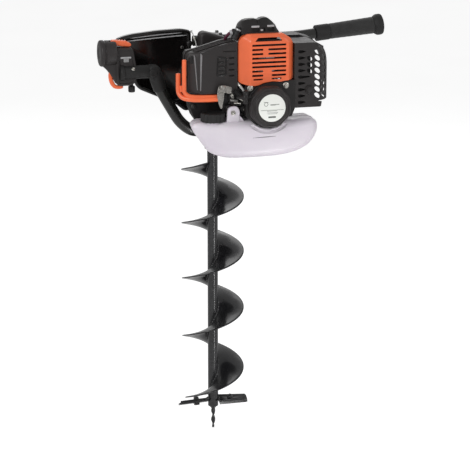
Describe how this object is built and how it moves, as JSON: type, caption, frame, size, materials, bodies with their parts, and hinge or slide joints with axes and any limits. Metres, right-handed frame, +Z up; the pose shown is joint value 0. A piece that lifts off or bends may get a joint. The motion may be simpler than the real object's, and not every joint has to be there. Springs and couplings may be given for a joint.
{
  "type": "ice fishing auger",
  "caption": "Hand-held petrol ice auger: screw bit under a geared two-stroke engine with a white tank, slotted cover, plain grip, throttle hand and hip panel.",
  "frame": {"origin": "on the bit axis, on the small flat end of the pilot point", "axes": "+Z up along the bit axis, -Y towards the recoil starter (front), +X towards the plain grip"},
  "size_m": [0.6956, 0.3079, 1.036],
  "materials": {
    "black_paint": "gloss black enamel",
    "zinc": "zinc plated",
    "gear_steel": "machined",
    "cast_alloy": "as cast",
    "muffler_steel": "heat stained",
    "black_plastic": "fine moulded texture",
    "gloss_black": "gloss",
    "orange_plastic": "satin gloss",
    "tank_plastic": "translucent blow moulded",
    "grip_foam": "closed-cell foam",
    "filter_foam": "open foam",
    "switch_grey": "satin"
  },
  "bodies": {
    "engine_unit": {"gearbox_cover": "cast_alloy", "gearbox_housing": "cast_alloy", "output_bearing": "gear_steel", "crankcase_front": "cast_alloy", "crankcase_rear": "cast_alloy", "cylinder": "cast_alloy", "spark_plug": "gear_steel", "front_shroud": "orange_plastic", "recoil_cover": "black_plastic", "shroud_bolt_left": "zinc", "shroud_bolt_right": "zinc", "top_cover": "black_plastic", "plug_cap": "black_plastic", "muffler": "muffler_steel", "muffler_guard": "black_plastic", "filter_cover": "black_plastic", "filter_base": "black_plastic", "filter_element": "filter_foam", "filter_guard": "orange_plastic", "carburettor": "cast_alloy", "fuel_tank": "tank_plastic", "cylinder_shroud": "black_plastic", "handle_bar": "black_paint", "grip": "grip_foam", "left_tube": "black_paint", "elbow": "black_plastic", "handle_bracket": "cast_alloy", "hip_panel": "gloss_black", "back_cover": "black_plastic", "throttle_housing": "black_plastic"},
    "auger_bit": {"auger_tube": "black_paint", "flighting": "black_paint", "blade_left": "black_paint", "blade_right": "black_paint", "blade_bolt_left": "zinc", "blade_bolt_right": "zinc", "pilot_point": "black_paint", "coupling_pin": "zinc", "output_shaft": "gear_steel", "output_bevel_gear": "gear_steel"},
    "layshaft": {"layshaft": "gear_steel", "layshaft_gear": "gear_steel"},
    "clutch_drum": {"clutch_drum": "gear_steel"},
    "crankshaft": {"crank_half_front": "gear_steel", "crank_half_rear": "gear_steel", "flywheel_fan": "cast_alloy"},
    "shoe_a": {"clutch_shoe_a": "cast_alloy"},
    "shoe_b": {"clutch_shoe_b": "cast_alloy"},
    "recoil_pulley": {"recoil_pulley": "black_plastic"},
    "starter_handle": {"starter_handle": "black_plastic"},
    "piston": {"piston": "cast_alloy"},
    "connecting_rod": {"connecting_rod": "gear_steel", "crank_pin": "gear_steel"},
    "throttle_arm": {"throttle_arm": "zinc"},
    "choke_lever": {"choke_lever": "zinc"},
    "fuel_cap": {"fuel_cap": "black_plastic"},
    "trigger": {"throttle_trigger": "orange_plastic"},
    "lockout": {"lockout_lever": "orange_plastic"},
    "stop_switch": {"stop_switch": "switch_grey"},
    "clamp_knob": {"clamp_knob": "black_plastic"}
  },
  "joints": [
    {"name": "bit_spin", "type": "hinge", "parent": "engine_unit", "child": "auger_bit", "pos_m": [0, 0, 0.78], "axis": [0, 0, 1], "continuous": true},
    {"name": "layshaft_spin", "type": "hinge", "parent": "engine_unit", "child": "layshaft", "pos_m": [0, -0.07, 0.84], "axis": [0, 1, 0], "continuous": true},
    {"name": "drum_spin", "type": "hinge", "parent": "engine_unit", "child": "clutch_drum", "pos_m": [0.08, -0.1, 0.84], "axis": [0, 1, 0], "continuous": true},
    {"name": "crank_spin", "type": "hinge", "parent": "engine_unit", "child": "crankshaft", "pos_m": [0.08, -0.16, 0.84], "axis": [0, 1, 0], "continuous": true},
    {"name": "shoe_a_throw", "type": "slide", "parent": "crankshaft", "child": "shoe_a", "axis": [0, 0, 1], "range_m": [0, 0.0015]},
    {"name": "shoe_b_throw", "type": "slide", "parent": "crankshaft", "child": "shoe_b", "axis": [0, 0, -1], "range_m": [0, 0.0015]},
    {"name": "starter_pull", "type": "slide", "parent": "engine_unit", "child": "starter_handle", "axis": [-1, 0, 0], "range_m": [0, 0.3]},
    {"name": "pulley_spin", "type": "hinge", "parent": "engine_unit", "child": "recoil_pulley", "pos_m": [0.08, -0.219, 0.84], "axis": [0, 1, 0], "range_deg": [-700, 0]},
    {"name": "piston_slide", "type": "slide", "parent": "engine_unit", "child": "piston", "axis": [0, 0, 1], "range_m": [-0.034, 0]},
    {"name": "rod_swing", "type": "hinge", "parent": "piston", "child": "connecting_rod", "pos_m": [0.08, -0.157, 0.919], "axis": [0, 1, 0], "range_deg": [-11, 11]},
    {"name": "throttle_arm_turn", "type": "hinge", "parent": "engine_unit", "child": "throttle_arm", "pos_m": [0.002, -0.172, 0.852], "axis": [0, 1, 0], "range_deg": [0, 75]},
    {"name": "choke_turn", "type": "hinge", "parent": "engine_unit", "child": "choke_lever", "pos_m": [-0.024, -0.184, 0.884], "axis": [0, 1, 0], "range_deg": [0, 60]},
    {"name": "fuel_cap_turn", "type": "hinge", "parent": "engine_unit", "child": "fuel_cap", "pos_m": [-0.043, -0.173, 0.815], "axis": [0, 0, 1], "continuous": true},
    {"name": "trigger_pull", "type": "hinge", "parent": "engine_unit", "child": "trigger", "pos_m": [-0.243, -0.03, 0.906], "axis": [0, 1, 0], "range_deg": [-15, 0]},
    {"name": "lockout_press", "type": "hinge", "parent": "engine_unit", "child": "lockout", "pos_m": [-0.205, -0.03, 0.963], "axis": [0, 1, 0], "range_deg": [-6, 0]},
    {"name": "stop_slide", "type": "slide", "parent": "engine_unit", "child": "stop_switch", "axis": [1, 0, 0], "range_m": [0, 0.006]},
    {"name": "knob_turn", "type": "hinge", "parent": "engine_unit", "child": "clamp_knob", "pos_m": [-0.2, -0.03, 0.86], "axis": [0, 0, 1], "continuous": true}
  ],
  "couplings": [
    {"joint": "layshaft_spin", "follows": "bit_spin", "ratio": 5},
    {"joint": "drum_spin", "follows": "bit_spin", "ratio": -35},
    {"joint": "shoe_b_throw", "follows": "shoe_a_throw", "ratio": 1},
    {"joint": "pulley_spin", "follows": "starter_pull", "rad_per_m": -38.462},
    {"joint": "throttle_arm_turn", "follows": "trigger_pull", "ratio": -5}
  ]
}
